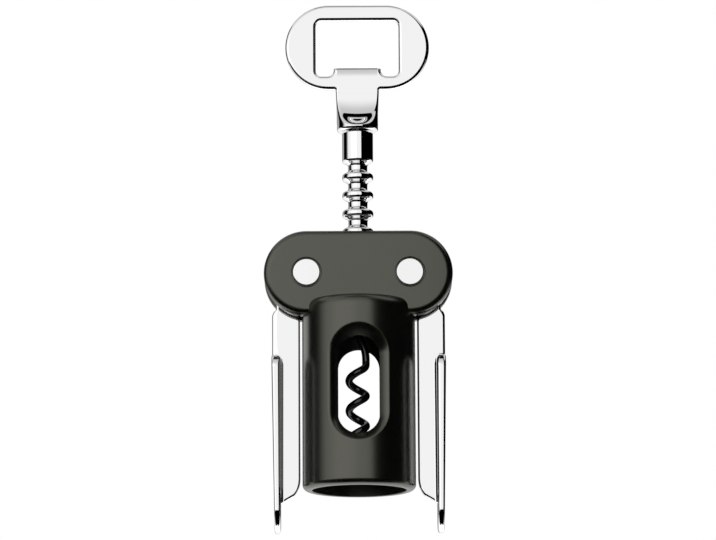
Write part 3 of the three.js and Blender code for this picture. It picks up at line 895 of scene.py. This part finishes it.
hollow_half = 7.2
hollow_foot = 149
hollow_height = 3.2
hollow_depth = 0.95
foot_pull = 1
top_pull = (0.45, 2.1)
front = plate_thickness / 2
hollow_line = curve((front, hollow_foot), (front, hollow_foot + foot_pull),
                    (front - top_pull[0], hollow_foot + top_pull[1]),
                    (front - hollow_depth, hollow_foot + hollow_height))
hollow_line += [Vector((front + overrun, hollow_foot + up)) for up in (hollow_height, 0)]
for face in (-1, 1):
    rings = [[(x, face * y, z) for y, z in hollow_line] for x in (-hollow_half, hollow_half)]
    combine(handle, solid(lofted(rings)))

cross_pin_low, cross_pin_high = frame_box("handle_pin")
cross_pin_height = (cross_pin_low.z + cross_pin_high.z) / 2
tenon_hole = [(0, boss_low - overrun), (tenon_radius + fit, boss_low - overrun),
              (tenon_radius + fit, spindle_high.z + fit), (0, spindle_high.z + fit)]
combine(handle, solid(spun(tenon_hole, closed=False, steps=48)))
cross_hole = [(0, -overrun - boss_radius), (straight_pin_radius + fit, -overrun - boss_radius),
              (straight_pin_radius + fit, overrun + boss_radius), (0, overrun + boss_radius)]
cross_cut = moved(spun(cross_hole, closed=False, steps=32), (0, 0, cross_pin_height), math.pi / 2, "Y")
combine(handle, solid(cross_cut))
finished(handle, "handle", "screw", chrome, crease=35)

straight_pin("handle_pin", "cross_pin")


# Levers: polished castings, each other's mirror image. A toothed hub turns between the cheeks, a flat web
# hangs beside the barrel, and a palm rest stands square to the web on its outer edge.
hub_thickness = 8
hub_edge = 0.25
pitch_radius = 13.875
tip_radius = 14.7
tooth_root_radius = 12.45
rack_backlash = 0.4
lever_travel = math.radians(140)
mesh_reach = 1.4
hub_steps = 96
hub_relief_start = math.radians(257)
hub_relief_radius = 13.2
flank_steps = 5
web_inner = barrel_radius + 0.7
web_width = 9.9
web_outer = web_inner + web_width
web_thickness = 2.6
web_edge = 0.85
web_bottom = -4.7
web_curve_bottom = -2
web_inner_bottom = 4.5
web_shoulder = pivot_z - 14.6
web_step = 1.4
shoulder_curve = ((-web_step, 2.8), (-0.5, 1.9), (0, 1), (0, 0))
foot_curve = ((4, -0.8), (3, -0.3), (2.3, 0))
heel_curve = ((2.3, 0), (0.8, 1.4))
heel_pull = 2.6
rest_x = web_outer - 1.55
rest_depth = 18
rest_bottom = housing_low.z + hub_low.z
rest_top = 48
rest_corner = 5
rest_tip = 8.2
rest_top_thickness = 3.5
rest_bottom_thickness = 2.3
rest_edge = 1.5
rest_outer_edge = 0.9
rest_lean = 0.45
web_fillet = 0.9
fillet_taper = 3
fillet_end = 0.9
fillet_end_radius = 0.2
fillet_steps = 8
fillet_inside = 0.3

tooth_angle = rack_pitch / pitch_radius
tooth_thickness = rack_pitch - ring_thickness - rack_backlash
base_radius = pitch_radius * math.cos(pressure_angle)


def flank_angle(radius):
    """The angle between a tooth's middle and its involute flank at a radius."""
    slope = math.acos(min(1, base_radius / radius))
    involute = math.tan(pressure_angle) - pressure_angle - math.tan(slope) + slope
    return tooth_thickness / 2 / pitch_radius + involute


gap_height = first_ring + rack_pitch / 2
gap_height -= rack_pitch * round((gap_height - pivot_z) / rack_pitch)
rest_angle = (gap_height - pivot_z) / pitch_radius
reach = mesh_reach * tooth_angle
first_tooth = math.ceil((-reach - rest_angle) / tooth_angle)
last_tooth = math.floor((lever_travel + reach - rest_angle) / tooth_angle)
hub_outline = []
for tooth in range(first_tooth, last_tooth + 1):
    middle = rest_angle + tooth * tooth_angle
    tooth_height = tip_radius - tooth_root_radius
    radii = [tooth_root_radius + tooth_height * k / flank_steps for k in range(flank_steps + 1)]
    turns = [(radius, middle - flank_angle(radius)) for radius in radii]
    turns += [(radius, middle + flank_angle(radius)) for radius in reversed(radii)]
    hub_outline += turns
plain_start = rest_angle + (last_tooth + 0.5) * tooth_angle
plain_end = rest_angle + (first_tooth - 0.5) * tooth_angle + math.tau
for k in range(hub_steps + 1):
    angle = plain_start + (plain_end - plain_start) * k / hub_steps
    hub_outline.append((tip_radius if angle < hub_relief_start else hub_relief_radius, angle))
hub_outline = [(pivot_x - r * math.cos(a), pivot_z + r * math.sin(a)) for r, a in hub_outline]


def off_corner(x, z, offsets):
    """Points that lie off a corner by these offsets."""
    return [(x + across, z + up) for across, up in offsets]


web_outline = [
    (web_inner, pivot_z - pin_hole),
    (web_outer - web_step, pivot_z - pin_hole),
    *curve(*off_corner(web_outer, web_shoulder, shoulder_curve)),
    (web_outer, rest_top),
    (rest_x, rest_top),
    (rest_x, web_bottom),
    (rest_x - web_step, web_bottom),
    *curve((rest_x - web_step, web_bottom), *off_corner(web_inner, web_curve_bottom, foot_curve)),
    *curve(*off_corner(web_inner, web_curve_bottom, heel_curve),
           (web_inner, web_inner_bottom - heel_pull), (web_inner, web_inner_bottom)),
]
rest_half = rest_depth / 2
rest_outline = rounded(
    [
        (rest_half, rest_bottom, rest_tip),
        (rest_half, rest_top, rest_corner),
        (-rest_half, rest_top, rest_corner),
        (-rest_half, rest_bottom, rest_tip),
    ],
    steps=24,
)


def palm_rest():
    """The palm rest, drawn as a flat plate, turned square to the web and thinned towards its lower end."""
    bm = plate(rest_outline, rest_top_thickness, rest_outer_edge, steps=8, back_edge=rest_edge)
    moved(bm, turn=math.pi / 2, axis="Z")
    for vert in bm.verts:
        share = (rest_top - vert.co.z) / (rest_top - rest_bottom)
        vert.co.x *= 1 + (rest_bottom_thickness / rest_top_thickness - 1) * share
        vert.co.x -= rest_lean * share
    return moved(bm, (rest_x, 0, 0))


def fillet(side):
    """The rounded inner corner between the web and the palm rest, in front for -1 or behind for 1."""
    arc = [math.pi / 2 * k / fillet_steps for k in range(fillet_steps + 1)]
    foot = (web_bottom + web_edge, web_fillet)
    taper = (rest_top - fillet_taper, web_fillet)
    top = (rest_top - fillet_end, fillet_end_radius)
    rings = []
    for height, radius in (foot, taper, top):
        share = (height - rest_bottom) / (rest_top - rest_bottom)
        flank = rest_x - (rest_bottom_thickness + (rest_top_thickness - rest_bottom_thickness) * share) / 2
        flank -= rest_lean * (1 - share)
        near, far = flank - radius, web_thickness / 2 + radius
        line = [(near + radius * math.sin(a), far - radius * math.cos(a)) for a in arc]
        inside = flank + rest_edge / 2
        line += [(inside, far), (inside, fillet_inside), (near, fillet_inside)]
        rings.append([(x, side * y, height) for x, y in line])
    return lofted(rings)


for side, sign in (("left", -1), ("right", 1)):
    lever = solid(plate(hub_outline, hub_thickness, hub_edge, steps=3), f"lever_{side}_casting")
    combine(lever, solid(plate(web_outline, web_thickness, web_edge)), "UNION")
    combine(lever, solid(palm_rest()), "UNION")
    for face in (-1, 1):
        combine(lever, solid(fillet(face)), "UNION")
    bore = [(0, -hub_thickness), (pin_hole, -hub_thickness), (pin_hole, hub_thickness), (0, hub_thickness)]
    combine(lever, solid(moved(spun(bore, closed=False, steps=48), (pivot_x, 0, pivot_z), math.pi / 2)))
    lever.data.transform(Matrix.Diagonal((sign, 1, 1, 1)))
    if sign < 0:
        lever.data.flip_normals()
    finished(lever, f"lever_{side}", f"lever_{side}", chrome)
